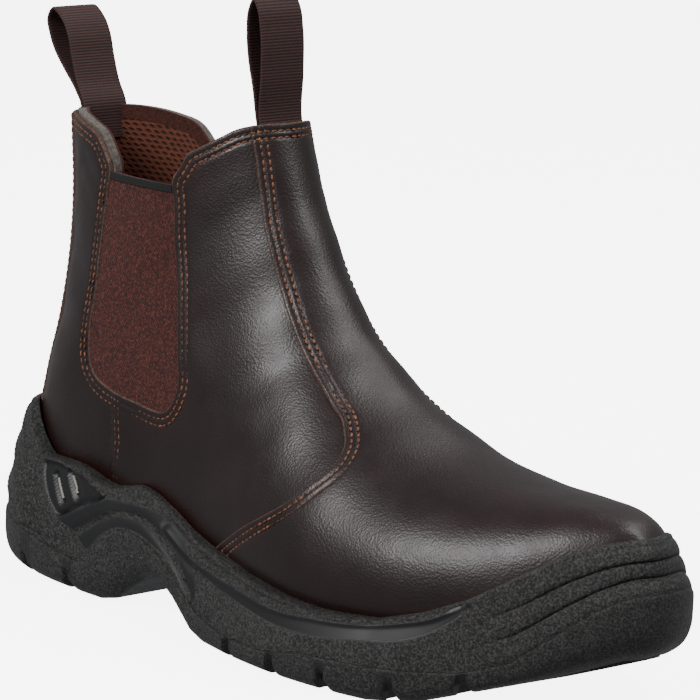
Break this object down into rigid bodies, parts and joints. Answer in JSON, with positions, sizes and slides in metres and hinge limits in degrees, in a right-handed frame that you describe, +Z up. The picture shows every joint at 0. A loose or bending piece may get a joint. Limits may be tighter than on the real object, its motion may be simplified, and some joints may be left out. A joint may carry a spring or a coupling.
{
  "type": "side gore work boot",
  "caption": "Ankle work boot with a hollow leather upper, elastic side gores, webbing pull loops and a rubber cup sole with cut lugs.",
  "frame": {"origin": "middle of the bounding box, on the ground that the tread rests on", "axes": "+X along the boot towards the toe, +Y towards its medial side, +Z up"},
  "size_m": [0.3088, 0.1128, 0.2145],
  "materials": {
    "leather": "smooth full grain with a soft polish",
    "elastic": "matt woven elastic",
    "webbing": "matt ribbed webbing",
    "midsole": "moulded with a fine stipple and smooth bands",
    "outsole": "moulded with a fine stipple",
    "insole": "matt textile cover"
  },
  "bodies": {
    "root": {"outsole": "outsole", "midsole": "midsole", "upper": "leather", "insole": "insole", "gore_lateral": "elastic", "gore_medial": "elastic", "pull_loop_front": "webbing", "pull_loop_back": "webbing"}
  },
  "joints": []
}
